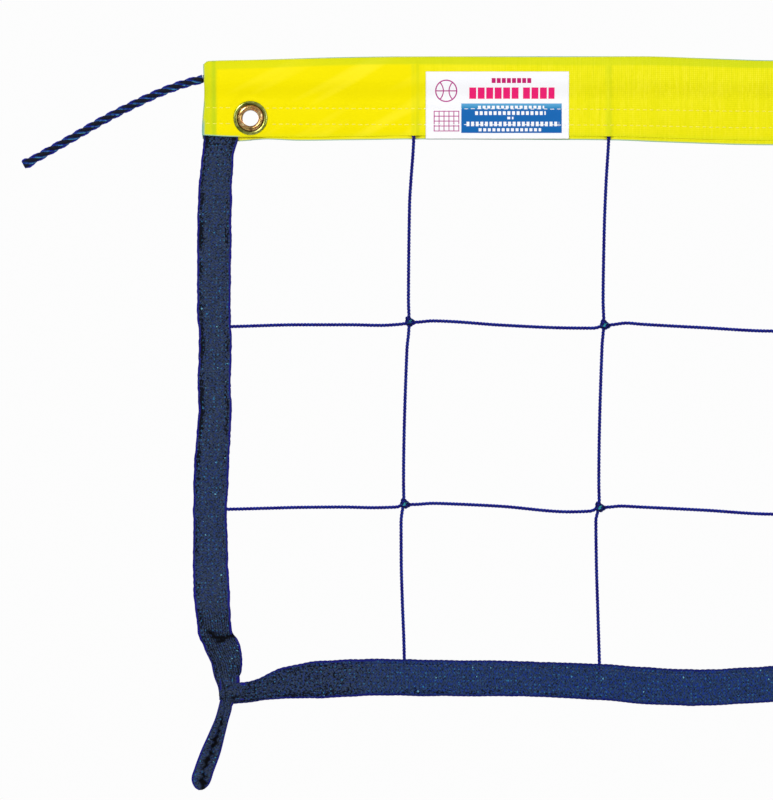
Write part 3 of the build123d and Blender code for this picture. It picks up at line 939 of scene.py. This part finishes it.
for word, (x, z) in GROMMETS.items():
    sway = float(band_sway(x, z)) / MM
    face, back = sway - 1.7, sway + 1.7
    profile = [(5.15, back + 0.9), (5.15, face + 0.2), *arc((6.9, face - 0.15), 1.72, 178, 12, 15)]
    profile += [(8.75, face - 0.28), (9.1, face - 0.5), (10.2, face - 0.62)]
    profile += [(10.8, face - 0.5), (11.05, face - 0.22), (11.0, face + 0.05), (5.9, face + 0.05)]
    profile += [(5.9, back + 0.5), (6.9, back + 0.65), (6.8, back + 1.05), (5.9, back + 1.25)]
    turned(f"grommet_{word}", profile, x, z, 8.72)
    profile = [(5.95, back), (5.95, back + 0.45), (7.5, back + 0.75), (9.4, back + 0.7)]
    profile += [(10.1, back + 0.45), (10.4, back + 0.15), (10.35, back - 0.05)]
    turned(f"washer_{word}", profile, x, z, 7.2)

# ---------------- netting
TWINE_PITCH = 6.6 * MM
TWINE_STEP = 0.55 * MM
TWINE_LAY = 0.35 * MM  # how far the uprights lie in front of the middle, and the cross twines behind it
# Centre of each knot: rows from the top, columns from the left, in millimetres.
KNOTS = [
    [(-190.8, -157.6), (-64.1, -159.6), (63.2, -158.6), (190.4, -160.2)],
    [(-194.0, -275.9), (-67.3, -278.2), (62.0, -277.4), (191.8, -279.0)],
]
# Uprights as (x, z), from between the flaps to inside the bottom tape.
UPRIGHTS = [
    [
        (-188.2, -33.5), (-188.6, -44), (-190.2, -66), (-191.1, -82), (-191.8, -144), (-191.4, -157.6),
        (-191.6, -163.5), (-192.8, -176), (-195, -262), (-194.8, -275.9), (-195.8, -280.5), (-196.6, -288),
        (-196.5, -313), (-195.8, -339), (-194.8, -365), (-194.4, -382), (-194.2, -393),
    ],
    [
        (-61.4, -33.5), (-61.9, -44), (-63.4, -68), (-64.6, -100), (-65.3, -144), (-64.8, -159.6),
        (-65.2, -164.5), (-66, -174), (-68.1, -262), (-67.8, -278.2), (-69, -282), (-70, -287),
        (-69.7, -313), (-68.6, -350), (-67.7, -380), (-67.4, -396),
    ],
    [
        (64.6, -33.5), (64.2, -46), (63.4, -92), (62.3, -145), (62.6, -158.6), (62.2, -164), (61.2, -174),
        (60.9, -262), (61.3, -277.4), (60.2, -282), (59.6, -289), (60.6, -318), (61.8, -352), (62.4, -380),
        (62.6, -396),
    ],
    [
        (191.6, -33.5), (191.4, -46), (190.9, -92), (189.4, -145), (189.9, -160.2), (189.2, -166),
        (188.8, -176), (190.8, -262), (191.2, -279), (190.4, -284), (189.8, -291), (190.2, -318),
        (191.6, -352), (192.4, -380), (192.6, -393),
    ],
]
# Cross twines as (x, z), from the edge line in one side tape to the one in the other.
CROSSES = [
    [
        (-325, -161.2), (-308, -160.9), (-262, -159.7), (-230, -159.7), (-210, -160.1), (-197.4, -159.4),
        (-190.6, -158.4), (-184.6, -157.9), (-176, -157.2), (-164, -157.6), (-132, -159.9), (-87, -161.8),
        (-72, -161.9), (-64.2, -160.2), (-58.6, -159.6), (-50, -158.6), (-41, -159.3), (0, -161.6),
        (45, -163.8), (56, -162.4), (63.2, -159.4), (69, -158.4), (80, -157.6), (120, -159.6), (170, -162),
        (184, -161.6), (190.4, -160.4), (197, -159.6), (215, -159.2), (262, -161.4), (308, -162),
        (325, -161.8),
    ],
    [
        (-325, -279.8), (-308, -279.6), (-285, -279.0), (-262, -278.4), (-235, -278.2), (-214, -278.6),
        (-200, -278.2), (-194, -276.6), (-187.6, -276.5), (-176, -275.8), (-160, -276.3), (-132, -277.7),
        (-87, -281.3), (-74, -280.9), (-67.4, -278.6), (-61, -278.2), (-54, -277.6), (-41, -278.2),
        (0, -280.2), (45, -282.8), (55, -281.6), (62.2, -278.2), (68.6, -277.4), (80, -276.6),
        (122, -278.4), (172, -281.2), (186, -280.6), (191.8, -279.2), (198, -278.4), (216, -278.2),
        (262, -280), (308, -280.6), (325, -280.4),
    ],
]


def flat_path(points, depth, seed):
    """A twine's path from (x, z) points, wandering a little in depth."""
    line = smooth_line([(x * MM, 0.0, z * MM) for x, z in points], TWINE_STEP)
    line[:, 1] = depth + TWINE_LAY * wander(len(line), 60, seed)[:, 0]
    return line


def twine(path, radius=TWINE_RADIUS):
    """Strands of twine along a path."""
    return laid_strands(path, radius, TWINE_PITCH, 8, 2)


def twine_piece(name, path, body):
    """A length of laid twine."""
    return finish_piece(add_mesh(name, *twine(path, TWINE_RADIUS * 1.08)), TWINE, body, "twine", name)


for number, points in enumerate(UPRIGHTS, start=1):
    path = flat_path(points, -TWINE_LAY, number)
    path[:, 1] += 0.75 * MM * ease(-62 * MM, -44 * MM, path[:, 2])
    upright = twine_piece(f"upright_twine_{number}", path, None)
    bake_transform(upright)
for number, points in enumerate(CROSSES, start=1):
    twine_piece(f"cross_twine_{number}", flat_path(points, TWINE_LAY, 10 + number), "net")

# Upper ends of the uprights, hidden between the flaps.
ends = []
for points in UPRIGHTS:
    x, z = points[0]
    run = [(x * MM, TWINE_LAY, -5 * MM), ((x + 0.4) * MM, TWINE_LAY, z * MM)]
    ends.append(twine(evenly(run, TWINE_STEP)))
finish_piece(add_mesh("twine_ends", *join_parts(ends)), TWINE, "headband", "twine", "twine_ends")


# A sheet bend drawn tight, as (across, up, depth) in millimetres: its bight, then three wraps laid over it.
BIGHT = [
    (-1.5, 3.0, 0.3), (0.0, 1.9, -0.5), (1.5, 0.6, -0.3), (2.9, -0.6, 0.3), (1.9, -1.7, 0.5),
    (0.2, -2.3, -0.2), (-1.6, -1.9, -0.6), (-2.4, -1.0, 0.1), (-2.1, 0.8, 0.5),
]
WRAPS = [
    [
        (-1.7, -1.9, -0.7), (-1.2, -0.6, -1.45), (-0.5, 0.8, -1.4), (0.1, 1.9, -0.5), (-0.4, 1.1, 1.1),
        (-1.2, -0.6, 1.4),
    ],
    [
        (0.2, -2.5, -0.5), (0.5, -1.2, -1.5), (1.0, -0.1, -1.4), (1.7, 0.7, -0.4), (1.3, -0.2, 1.1),
        (0.5, -1.5, 1.3),
    ],
    [
        (-0.9, -0.9, -1.4), (-0.1, -0.2, -1.8), (0.6, 0.3, -1.4), (0.9, 0.2, 0.6), (0.0, -0.4, 1.0),
        (-0.8, -0.8, 0.6),
    ],
]


def knot_parts(x, z, seed):
    """The turns of one knot, turned and stretched a little differently each time."""
    rng = np.random.default_rng(seed)
    spin = math.radians(rng.uniform(-7, 7))
    size = MM * rng.uniform(0.95, 1.05)
    parts = []
    for turn in [BIGHT, *WRAPS]:
        # The middle one of three rounds, so that a turn closes smoothly.
        line = smooth_line([*turn, *turn, *turn, turn[0]], 0.15)
        third = len(line) // 3
        across, up, depth = line[third : 2 * third + 2].T
        spun = (across * math.cos(spin) - up * math.sin(spin), across * math.sin(spin) + up * math.cos(spin))
        path = np.stack([x + spun[0] * size, depth * MM, z + spun[1] * size], -1)
        parts.append(twine(evenly(path, 0.4 * MM)))
        parts[-1][2]["light"] *= 0.15
    # The last wrap is the one that catches the light.
    parts[-1][2]["light"][:] = 1.0
    return parts


for row, centres in enumerate(KNOTS, start=1):
    parts = []
    for column, (x, z) in enumerate(centres):
        parts += knot_parts(x * MM, z * MM, row * 10 + column)
    name = f"knots_row_{row}"
    finish_piece(add_mesh(name, *join_parts(parts)), KNOT, "net", "twine", name)


# ---------------- folded tapes
TAPE_PLY = 0.8 * MM


def folded_strip(centre, outward, width, half, gathered, edges, seed):
    """A strip folded round a line: its points, and the numbers that its colours come from.

    centre: points down its middle; outward: the way to its fold; width, half: half its width and thickness;
    gathered: how deeply it is pleated; edges: how blue its edges are.
    """
    count = 56
    angle = np.linspace(-1, 1, count) * (math.pi - 0.10)
    cosine, sine = np.cos(angle), np.sin(angle)
    across = power(cosine, 0.62) * (1 - gathered) + cosine * gathered
    depth = power(sine, 0.34) * (1 - gathered) + power(sine, 0.8) * gathered
    folds = np.sin(angle * 9 + seed) * 0.5 + np.sin(angle * 17 + seed * 2) * 0.3
    depth = depth * (1 - 0.30 * bump(across, -0.72, 0.10) * (1 - gathered)) + folds * gathered * 0.16
    rows = centre[:, None] + np.array(outward) * (across * width)[..., None]
    rows[..., 1] += depth * half
    steps = np.linalg.norm(np.diff(rows, axis=1), axis=2)
    v = np.pad(np.cumsum(steps, axis=1), ((0, 0), (1, 0))) / MM
    ragged = wander(len(centre), 5, seed + 3) * 0.02
    worn = bump(across, 0.80, 0.15) + 0.6 * bump(across, -0.74, 0.14)
    return rows, {
        "u": run_lengths(centre)[:, None] / MM,
        "v": v - v[:, count // 2, None],
        "edge": ease(0.895, 0.935, np.abs(across) + ragged) * edges,
        # Painted shade in the hollows of the pleats.
        "crease": gathered * np.clip(-folds * 1.1 - 0.35, 0, 0.75),
        "worn": worn * (0.85 + 0.6 * wander(len(centre), 12, seed + 9)),
        "ribbed": np.clip(gathered, 0, 1),
        "blued": 0.4 * ease(0.6, 0.8, np.abs(across)),
    }


# Left tape's edges as (height, x) with height growing, in millimetres.
side_left = through([
    (-405, -314.4), (-398, -314.8), (-389.7, -317.3), (-380.8, -319.6), (-370, -324.1), (-360, -328.2),
    (-351, -329.2), (-340, -330.8), (-312, -331.7), (-300, -331.5), (-275, -331.4), (-267, -331.3),
    (-241, -330.2), (-230, -328.9), (-212, -327.9), (-199, -328.6), (-170, -327.7), (-160, -328.2),
    (-150, -328.9), (-111, -328.9), (-72, -328.0), (-50.7, -325.8), (-38, -324.8), (-26, -324.6),
])
side_right = through([
    (-405, -304.2), (-398, -301.6), (-391.2, -302.6), (-383.8, -300.2), (-379, -300.0), (-369, -301.2),
    (-364, -303.2), (-360, -306.4), (-351, -307.6), (-335, -308.2), (-312, -309.3), (-300, -309.5),
    (-283, -310.3), (-267, -309.3), (-241, -308.2), (-212, -306.9), (-199, -307.6), (-170, -307.0),
    (-163, -307.4), (-150, -307.6), (-111, -307.3), (-72, -306.7), (-50.7, -305.6), (-38, -302.8),
    (-26, -302.6),
])
# Its depth and half its thickness by height.
side_depth = through([
    (-405, 0), (-390, 0.1), (-370, -0.5), (-340, -0.9), (-290, 0.7), (-240, -0.6), (-190, 0.8),
    (-140, -0.5), (-90, 0.5), (-55, 0.1), (-40, 0), (-26, 0),
])
side_half = through([
    (-405, 2.7), (-394, 2.5), (-380, 2.1), (-362, 1.75), (-340, 1.5), (-60, 1.5), (-47, 1.1), (-41, 0.62),
    (-26, 0.6),
])
# The tuck across a side tape, as (distance from the middle of the net, height).
tuck_height = through([
    (303, -361.6), (307.4, -362.0), (311.5, -363.2), (315.3, -363.6), (318.5, -361.8), (321.9, -359.4),
    (326, -358.6),
])


def side_tape(word, side, seed):
    """The tape folded round one end of the net, from between the flaps down to the corner."""
    z = np.linspace(-27, -403.5, 520)[:, None] * MM
    down = z / MM
    left = side_left(z) + (0.25 * wander(len(z), 9, seed) + 0.2 * wander(len(z), 3, seed + 1)) * MM
    right = side_right(z) + (0.2 * wander(len(z), 8, seed + 2) + 0.18 * wander(len(z), 2.5, seed + 4)) * MM
    centre = np.concatenate([-side * (left + right) / 2, side_depth(z), z], 1)
    gathered = ease(-366, -392, down) * 0.85 + 0.15 * ease(-350, -366, down)
    edges = 0.35 + 0.65 * ease(-36, -48, down)
    rows, values = folded_strip(centre, (side, 0, 0), (right - left) / 2, side_half(z), gathered, edges, seed)
    # A tuck across the tape where it starts to narrow, with painted shade in it and the cloth below it pushed
    # out.
    inward = np.abs(rows[..., 0]) / MM
    line = tuck_height(inward * MM) + 0.4 * MM * np.sin(inward * 2.3)
    front = rows[..., 1] < centre[:, 1:2]
    thick = (1.2 + 1.6 * bump(inward, 315, 4.5) + 0.5 * np.sin(inward * 3.7)) * MM
    tuck = bump(rows[..., 2], line, thick) * ease(324.5, 320.5, inward) * front
    rows[..., 1] += 0.7 * MM * tuck - 0.5 * MM * bump(rows[..., 2], line - 4 * MM, 3.5 * MM) * front
    values["crease"] = np.clip(np.maximum(values["crease"], tuck * (1.5 + 0.4 * np.sin(inward * 3.9))), 0, 1)
    values["ribbed"] = ease(-338, -352, down)
    values["worn"] = values["worn"] * (0.7 + 0.55 * ease(-260, -230, down))
    # Darker over the gathered lower part, and towards the top where the tape goes in under the headband.
    values["worn"] += 0.1 * ease(-340, -356, down) + 0.45 * ease(-60, -40, down)
    values["blued"] = 0.25 * values["blued"] + 0.22 * ease(-235, -255, down) * ease(-330, -310, down)
    tape = thick_sheet(f"side_tape_{word}", rows, TAPE_PLY, values)
    finish_piece(tape, TAPE, None, "tape", f"side_tape_{word}", f"tape_head_{word}")
    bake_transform(tape)


side_tape("left", -1, 3)
side_tape("right", 1, 5)

# Bottom tape's edges as (x, height), in millimetres.
bottom_top = through([
    (-307, -393.2), (-303, -392.9), (-296, -392.2), (-289.6, -390.2), (-281.8, -386.4), (-275.3, -383.6),
    (-268.8, -381.9), (-259.7, -380.0), (-249, -378.6), (-210, -377.3), (-178, -378.0), (-126, -378.6),
    (-106, -379.3), (-67, -380.6), (-41, -382.5), (-22, -383.8), (-2, -384.2), (30, -382.9), (45, -381.9),
    (80, -379.8), (130, -378.4), (190, -378.8), (236, -377.9), (258, -379.4), (270, -382.8), (281, -387.0),
    (291, -390.6), (303, -392.8), (307, -393.0),
])
bottom_low = through([
    (-307, -405.8), (-303, -405.3), (-297, -404.8), (-285, -403.2), (-275, -402.5), (-249, -401.9),
    (-210, -400.1), (-178, -400.6), (-126, -400.7), (-80, -402.4), (-61, -403.7), (-41, -405.6),
    (-2, -406.9), (30, -405.3), (45, -404.3), (80, -402.2), (130, -400.6), (190, -401.6), (236, -400.4),
    (258, -401.8), (281, -402.8), (303, -404.9), (307, -405.4),
])
# Its depth by x.
bottom_depth = through([
    (-307, 0), (-280, 0.4), (-230, -0.7), (-170, 0.5), (-100, -0.7), (-40, 0.8), (20, -0.4), (90, 0.7),
    (160, -0.6), (230, 0.5), (280, -0.3), (307, 0),
])
BOTTOM_END = 307.0


def bottom_tape():
    """The tape folded round the net's lower edge, drawn in to a corner at each end."""
    x = np.linspace(-BOTTOM_END, BOTTOM_END, 760)[:, None] * MM
    place = x / MM
    scallop = np.abs(np.sin(place * math.pi / 3.4 + 1.5 * wander(len(x), 30, 20)))
    top = bottom_top(x) + (0.18 * wander(len(x), 8, 21) + 0.3 * scallop) * MM
    low = bottom_low(x) + (0.2 * wander(len(x), 9, 22) - 0.2 * scallop[::-1]) * MM
    centre = np.concatenate([x, bottom_depth(x), (top + low) / 2], 1)
    from_corner = BOTTOM_END - np.abs(place)
    gathered = 0.9 * (1 - ease(4, 40, from_corner))
    half = (1.5 + 0.9 * (1 - ease(2, 30, from_corner))) * MM
    rows, values = folded_strip(centre, (0, 0, -1), (top - low) / 2, half, gathered, 1.0, 9)
    values["blued"] = values["blued"] + 0.2 + 0.65 * ease(-235, -175, place) + 0.35 * ease(-120, -60, place)
    values["worn"] = 0.5 * values["worn"] * (1 - 0.9 * ease(-62, -20, place)) + 0.42 * ease(-200, -240, place)
    tape = thick_sheet("bottom_tape", rows, TAPE_PLY, values)
    finish_piece(tape, TAPE, "net", "tape", "bottom_tape")


bottom_tape()

# ---------------- edge lines and seams inside the tapes
LINE_STEP = 1.1 * MM
SEAM_PITCH = 3.6 * MM
SEAM_THREAD = 0.24 * MM
SEAM_DEPTH = 1.30 * MM
SEAM_SHARE = 0.14  # how far into the tape a seam is, as a share of its width
for word, side in SIDES:
    z = np.linspace(-46, -357, 80) * MM
    line = np.stack([-side * (side_left(z) + 2.9 * MM), side_depth(z), z], -1)
    twine_piece(f"side_line_{word}", evenly(line, LINE_STEP), "net")
x = np.linspace(-262, 262, 120) * MM
line = np.stack([x, bottom_depth(x), bottom_low(x) + 3.0 * MM], -1)
twine_piece("bottom_line", evenly(line, LINE_STEP), "net")


def tape_stitches(name, line):
    """Stitches on both faces of a tape, along a line of points in its middle."""
    line = evenly(line, SEAM_PITCH)
    directions = unit_rows(np.gradient(line, axis=0))
    stitches = []
    for side in (-1, 1):
        surface = line + [0, side * SEAM_DEPTH, 0]
        stitches += [(place, direction, side, 0.0) for place, direction in zip(surface, directions)][1:-1]
    stitch_row(name, stitches, SEAM_PITCH * 0.68, SEAM_THREAD, DARK_THREAD, "net", "dark_thread")


for word, side in SIDES:
    z = np.linspace(-50, -356, 90) * MM
    x = -side * (side_right(z) - SEAM_SHARE * (side_right(z) - side_left(z)))
    tape_stitches(f"side_seam_{word}", np.stack([x, side_depth(z), z], -1))
x = np.linspace(-258, 258, 140) * MM
height = bottom_top(x) - SEAM_SHARE * (bottom_top(x) - bottom_low(x))
tape_stitches("bottom_seam", np.stack([x, bottom_depth(x), height], -1))


# ---------------- corner knots and tie loops
def half_sizes(path, sizes):
    """A column of half sizes along a path, from (share of its length, millimetres) points."""
    value = through([(place, size * MM) for place, size in sizes], unit=1.0)
    return value(np.linspace(0, 1, len(path)))[:, None]


def soft_bar(path, across, depth, groove, seed):
    """A bar of gathered webbing: an oval section along a path, ribbed lengthways. Both ends are closed.

    across, depth: half its size each way, as (share of its length, millimetres) points.
    """
    across, depth = half_sizes(path, across), half_sizes(path, depth)
    directions = unit_rows(np.gradient(path, axis=0))
    sideways = unit_rows(np.cross(directions, [[0.0, 1.0, 0.0]]))
    angle = circle(40)
    ribs = 1 + groove * (0.6 * np.sin(angle * 7 + seed) + 0.4 * np.sin(angle * 13 + seed * 3))
    rings = path[:, None] + sideways[:, None] * (power(np.cos(angle), 0.8) * ribs * across)[..., None]
    rings[..., 1] += power(np.sin(angle), 0.7) * ribs * depth
    cloth = {
        "u": run_lengths(path)[:, None] / MM,
        "v": angle * across.mean() / MM,
        "edge": ease(0.60, 0.78, np.abs(np.cos(angle))),
        # Painted shade in the grooves between ribs.
        "crease": np.clip(-(ribs - 1) / groove - 0.45, 0, 0.8),
    }
    points, faces, values = closed_bar(rings, path, **cloth)
    values["u"][-1] = cloth["u"][-1, 0]
    for key, number in (("worn", 0.1), ("ribbed", 0.3), ("blued", 0.0)):
        values[key] = np.full(len(points), number)
    return points, faces, values


def corner_path(side, points, spacing=0.5 * MM):
    """A path near a corner from (x, y, z) points of the left corner, in millimetres."""
    return smooth_line([(-side * x * MM, y * MM, z * MM) for x, y, z in points], spacing)


def paint_crease_shade(bar, amount):
    """Adds painted shade along creases of a bar."""
    bar[2]["crease"] = np.clip(np.maximum(bar[2]["crease"], amount), 0, 1)


# A corner's pieces as (x, y, z) points of the left one, in millimetres, and half their sizes along them.
NECK = [(-308.9, 0, -384), (-308.6, 0, -392), (-308.8, 0, -399), (-310.4, 0, -408.5)]
NECK_ACROSS = [(0, 6.6), (0.3, 7.0), (0.55, 6.2), (0.8, 4.7), (1, 3.2)]
NECK_DEPTH = [(0, 2.0), (0.4, 2.9), (0.8, 2.6), (1, 1.8)]
WRAP = [(-296.5, -0.4, -398.4), (-301, -1.4, -398.2), (-306, -2.1, -398.6), (-311.4, -1.5, -400.6)]
WRAP_TIP = [(-311.6, -1.5, -400.8), (-313.4, -1.1, -402.6)]
WRAP_ACROSS = [(0, 5.9), (0.35, 6.1), (0.7, 5.6), (0.9, 4.0), (1, 2.2)]
WRAP_DEPTH = [(0, 1.5), (0.5, 1.5), (0.85, 1.2), (1, 0.7)]
LOOP = [
    (-311.4, 0, -402.0), (-312.8, 0, -408), (-315.0, 0, -416), (-318.9, 0, -426), (-324.0, 0, -439.4),
    (-327.6, 0, -449.6), (-329.2, 0, -455.2), (-327.2, 0, -458.9), (-324.2, 0, -456.6), (-321.5, 0, -449),
    (-317.5, 0, -438.6), (-313.8, 0, -427), (-311.0, 0, -416), (-308.9, 0, -408), (-308.6, 0, -402),
]
LOOP_ACROSS = [
    (0, 2.4), (0.08, 2.4), (0.2, 2.7), (0.33, 3.5), (0.44, 3.6), (0.5, 3.3), (0.56, 3.3), (0.68, 3.2),
    (0.82, 2.4), (0.93, 2.4), (1, 2.4),
]
LOOP_DEPTH = [(0, 1.7), (0.1, 1.8), (0.3, 1.7), (0.5, 1.9), (0.7, 1.7), (0.9, 1.8), (1, 1.7)]
# Where the legs of a loop meet, as (height, x) in millimetres.
loop_centre = through([
    (-460, -325.6), (-449, -324.6), (-439, -320.8), (-427, -316.3), (-416, -313.0), (-402, -309.8),
])


def corner_knot(word, side):
    """The gathered neck of the side tape, with the end of the bottom tape wrapped over it."""
    neck = soft_bar(corner_path(side, NECK), NECK_ACROSS, NECK_DEPTH, 0.05, 1.0 + side)
    path = np.concatenate([corner_path(side, WRAP), corner_path(side, WRAP_TIP)])
    wrap = soft_bar(path, WRAP_ACROSS, WRAP_DEPTH, 0.045, 2.0 + side)
    inward, height = np.abs(wrap[0][:, 0]) / MM, wrap[0][:, 2] / MM
    wrap[2]["edge"] *= ease(303, 299, inward)
    # Painted shade along two creases across the wrap.
    upper = bump(inward, 310.7, 3.2) * bump(height + 0.6 * np.sin(inward * 2.1), -394.4, 0.9)
    slant = 0.3 * (inward - 304) + 0.5 * np.sin(inward * 2.6)
    lower = bump(inward, 304.6, 3.4) * bump(height + slant, -401.4, 1.0)
    paint_crease_shade(wrap, 1.4 * (upper + lower))
    name = f"corner_knot_{word}"
    finish_piece(add_mesh(name, *join_parts([neck, wrap])), TAPE, "net", "tape", name)


def tie_loop(word, side):
    """A loop of webbing that hangs from the corner, its legs pressed together, with painted shade where they
    meet.
    """
    bar = soft_bar(corner_path(side, LOOP, 0.6 * MM), LOOP_ACROSS, LOOP_DEPTH, 0.05, 4.0 + side)
    z = bar[0][:, 2] / MM
    off = bar[0][:, 0] / MM + side * loop_centre(z * MM) / MM
    jag = 1.1 * np.sin(z * 1.3) * np.sin(z * 0.37 + 0.4)
    gap = 0.8 + 1.0 * bump(z, -436, 12) + 1.3 * bump(z, -457, 3.5)
    broken = 1.2 + 0.9 * np.sin(z * 0.9 + 1) * np.sin(z * 0.43)
    bar[2]["edge"] *= 1 - np.clip(1.4 * bump(off, 0, 2.0), 0, 1)
    # Painted shade between the legs where they meet.
    paint_crease_shade(bar, broken * bump(off, jag, gap) * ease(-409, -420, z))
    name = f"tie_loop_{word}"
    loop = finish_piece(add_mesh(name, *bar), TAPE, None, "tape", name)
    fold = JOINT_Z["loop_left_swing"]
    fold + 1.2 * MM
    fold - 5 * MM
    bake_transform(loop)


for word, side in SIDES:
    corner_knot(word, side)
    tie_loop(word, side)


# ---------------- floor, sky and lamps
FLOOR_Z = -2.3
FLOOR_HALF = 7.0
floor_mesh = bpy.data.meshes.new("floor")
corners = [(x * FLOOR_HALF, y * FLOOR_HALF, FLOOR_Z) for x, y in ((-1, -1), (1, -1), (1, 1), (-1, 1))]
floor_mesh.from_pydata(corners, [], [(0, 1, 2, 3)])
floor = bpy.data.objects.new("floor", floor_mesh)
bpy.context.collection.objects.link(floor)
paint = new_material("floor", Roughness=0.9)
grain = paint.noise(paint.place(), 3.0, 4.0)
paint.surface(Base_Color=grain.climb(0.3, 0.7, 0.80, 0.84))
floor_mesh.materials.append(paint.owner)

# The sky: plain white to the camera, and a soft glow from above to the net.
world = bpy.data.worlds.new("world")
bpy.context.scene.world = world
sky = Nodes(world, "World Output")
height = sky.split(sky.add("TexCoord", {}, "Generated"))[2] * 0.5 + 0.5
shade = sky.ramp(height, [(0.25, (0.45, 0.46, 0.48)), (0.75, (1.15, 1.15, 1.15))])
glow = sky.add("Background", {"Color": shade, "Strength": 0.5})
plain = sky.add("Background", {"Color": (0.98, 0.98, 0.98), "Strength": 1.0})
seen = sky.add("LightPath", {}, "Is Camera Ray")
sky.surface(Surface=sky.add("MixShader", {0: seen, 1: glow, 2: plain}))
bpy.context.scene.view_settings.view_transform = "Standard"


NET_MIDDLE = (-0.1, 0.0, -0.2)


def softbox(name, place, size, watts):
    """A square area lamp aimed at the net."""
    data = bpy.data.lights.new(name, "AREA")
    data.shape = "SQUARE"
    data.size = size
    data.energy = watts
    lamp = bpy.data.objects.new(name, data)
    bpy.context.collection.objects.link(lamp)
    lamp.location = place
    x, y, z = (to - start for to, start in zip(NET_MIDDLE, place))
    lamp.rotation_euler = (math.pi / 2 + math.atan2(z, math.hypot(x, y)), 0, math.atan2(y, x) - math.pi / 2)


softbox("key", (-1.5, -2.4, 1.1), 1.1, 49)
softbox("fill", (1.7, -2.6, 0.1), 1.5, 21)
softbox("back_key", (1.4, 2.4, 1.2), 1.2, 50)
softbox("back_fill", (-1.8, 2.2, 0.2), 1.5, 24)
